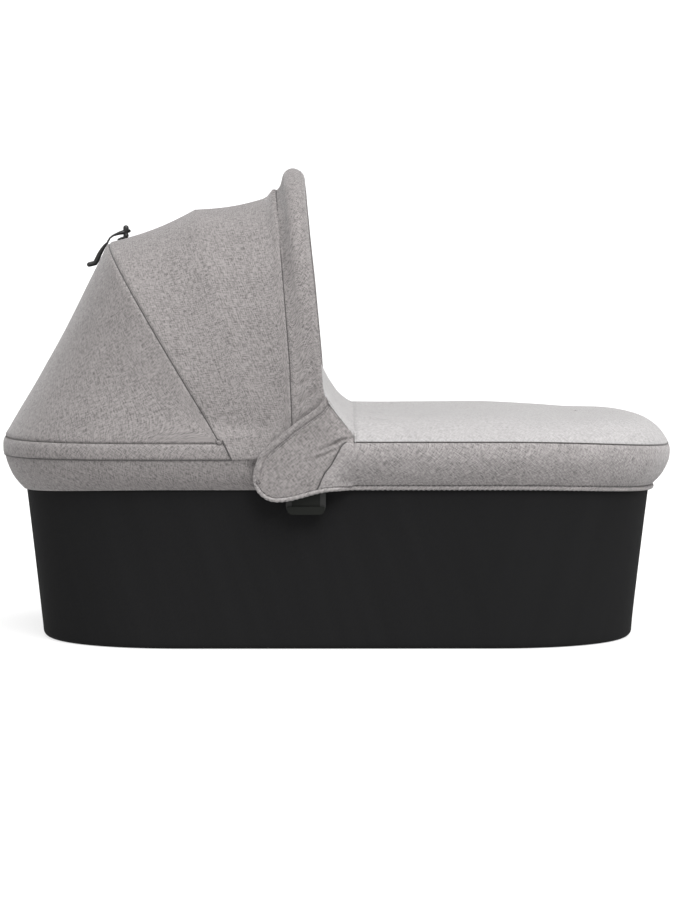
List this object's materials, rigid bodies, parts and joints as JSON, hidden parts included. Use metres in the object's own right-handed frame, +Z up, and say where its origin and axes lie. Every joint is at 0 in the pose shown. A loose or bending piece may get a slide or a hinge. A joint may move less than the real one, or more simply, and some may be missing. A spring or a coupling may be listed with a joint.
{
  "type": "carrycot",
  "caption": "Carrycot with a folding hood of three bows, a fitted apron with wing flaps, and release levers on its side adapter sockets.",
  "frame": {"origin": "on the ground under the middle of the carrycot's bounding box", "axes": "+X towards the foot end, the hood is at -X, +Y to the carrycot's right as seen from the head end, +Z up"},
  "size_m": [0.8383, 0.4198, 0.5871],
  "materials": {
    "tub_shell": "woven over board, matte",
    "tub_lining": "soft jersey, matte",
    "base_board": "pressed fibre board, matte",
    "rim_tube_head": "drawn tube, satin",
    "rim_tube_foot": "drawn tube, satin",
    "side_housing_left": "moulded, fine texture",
    "side_housing_right": "moulded, fine texture",
    "housing_screw_left_front": "bright",
    "housing_screw_left_rear": "bright",
    "housing_screw_right_front": "bright",
    "housing_screw_right_rear": "bright",
    "hub_pin_left": "bright",
    "hub_pin_right": "bright",
    "hub_cap_left": "moulded, fine texture",
    "hub_cap_right": "moulded, fine texture",
    "hood_band": "woven melange, matte",
    "canopy_rear": "woven melange, matte",
    "rear_bow": "moulded, fine texture",
    "canopy_front": "woven melange, matte",
    "vent_strap": "moulded elastomer, matte",
    "vent_toggle": "moulded elastomer, matte",
    "middle_bow": "moulded, fine texture",
    "front_bow": "moulded, fine texture",
    "visor": "woven melange, matte",
    "visor_wire": "moulded, fine texture",
    "apron_cover": "woven melange, matte",
    "apron_skirt": "woven melange, matte",
    "apron_piping": "woven melange, matte",
    "apron_collar": "woven melange, matte",
    "wing_flap_left": "woven melange, matte",
    "wing_flap_right": "woven melange, matte",
    "mattress": "soft jersey, matte",
    "release_lever_left": "moulded, smooth",
    "lever_spring_left": "bright",
    "release_lever_right": "moulded, smooth",
    "lever_spring_right": "bright"
  },
  "bodies": {
    "tub": {"tub_shell": "tub_shell", "tub_lining": "tub_lining", "base_board": "base_board", "rim_tube_head": "rim_tube_head", "rim_tube_foot": "rim_tube_foot", "side_housing_left": "side_housing_left", "side_housing_right": "side_housing_right", "housing_screw_left_front": "housing_screw_left_front", "housing_screw_left_rear": "housing_screw_left_rear", "housing_screw_right_front": "housing_screw_right_front", "housing_screw_right_rear": "housing_screw_right_rear", "hub_pin_left": "hub_pin_left", "hub_pin_right": "hub_pin_right", "hub_cap_left": "hub_cap_left", "hub_cap_right": "hub_cap_right", "hood_band": "hood_band", "canopy_rear": "canopy_rear"},
    "rear_bow": {"rear_bow": "rear_bow", "canopy_front": "canopy_front", "vent_strap": "vent_strap", "vent_toggle": "vent_toggle"},
    "middle_bow": {"middle_bow": "middle_bow"},
    "front_bow": {"front_bow": "front_bow", "visor": "visor", "visor_wire": "visor_wire"},
    "apron": {"apron_cover": "apron_cover", "apron_skirt": "apron_skirt", "apron_piping": "apron_piping", "apron_collar": "apron_collar", "wing_flap_left": "wing_flap_left", "wing_flap_right": "wing_flap_right"},
    "mattress": {"mattress": "mattress"},
    "release_left": {"release_lever_left": "release_lever_left", "lever_spring_left": "lever_spring_left"},
    "release_right": {"release_lever_right": "release_lever_right", "lever_spring_right": "lever_spring_right"}
  },
  "joints": [
    {"name": "hood_fold", "type": "hinge", "parent": "tub", "child": "rear_bow", "pos_m": [-0.082, 0, 0.226], "axis": [0, -1, 0], "range_deg": [0, 36], "deforming": ["canopy_rear", "canopy_front"]},
    {"name": "middle_bow_fold", "type": "hinge", "parent": "rear_bow", "child": "middle_bow", "pos_m": [-0.082, 0, 0.226], "axis": [0, -1, 0], "range_deg": [0, 12], "deforming": ["canopy_front"]},
    {"name": "front_bow_fold", "type": "hinge", "parent": "rear_bow", "child": "front_bow", "pos_m": [-0.082, 0, 0.226], "axis": [0, -1, 0], "range_deg": [0, 24], "deforming": ["canopy_front"]},
    {"name": "apron_lift", "type": "slide", "parent": "tub", "child": "apron", "axis": [0, 0, 1], "range_m": [0, 0.08], "deforming": ["apron_skirt", "apron_piping"]},
    {"name": "mattress_lift", "type": "slide", "parent": "tub", "child": "mattress", "axis": [0, 0, 1], "range_m": [0, 0.15]},
    {"name": "release_left", "type": "slide", "parent": "tub", "child": "release_left", "axis": [0, -0.0937, 0.9956], "range_m": [0, 0.007], "stiffness_N_per_m": 400, "deforming": ["lever_spring_left"]},
    {"name": "release_right", "type": "slide", "parent": "tub", "child": "release_right", "axis": [0, 0.0937, 0.9956], "range_m": [0, 0.007], "stiffness_N_per_m": 400, "deforming": ["lever_spring_right"]}
  ],
  "couplings": [
    {"joint": "middle_bow_fold", "follows": "hood_fold", "ratio": 0.33333},
    {"joint": "front_bow_fold", "follows": "hood_fold", "ratio": 0.66667}
  ]
}
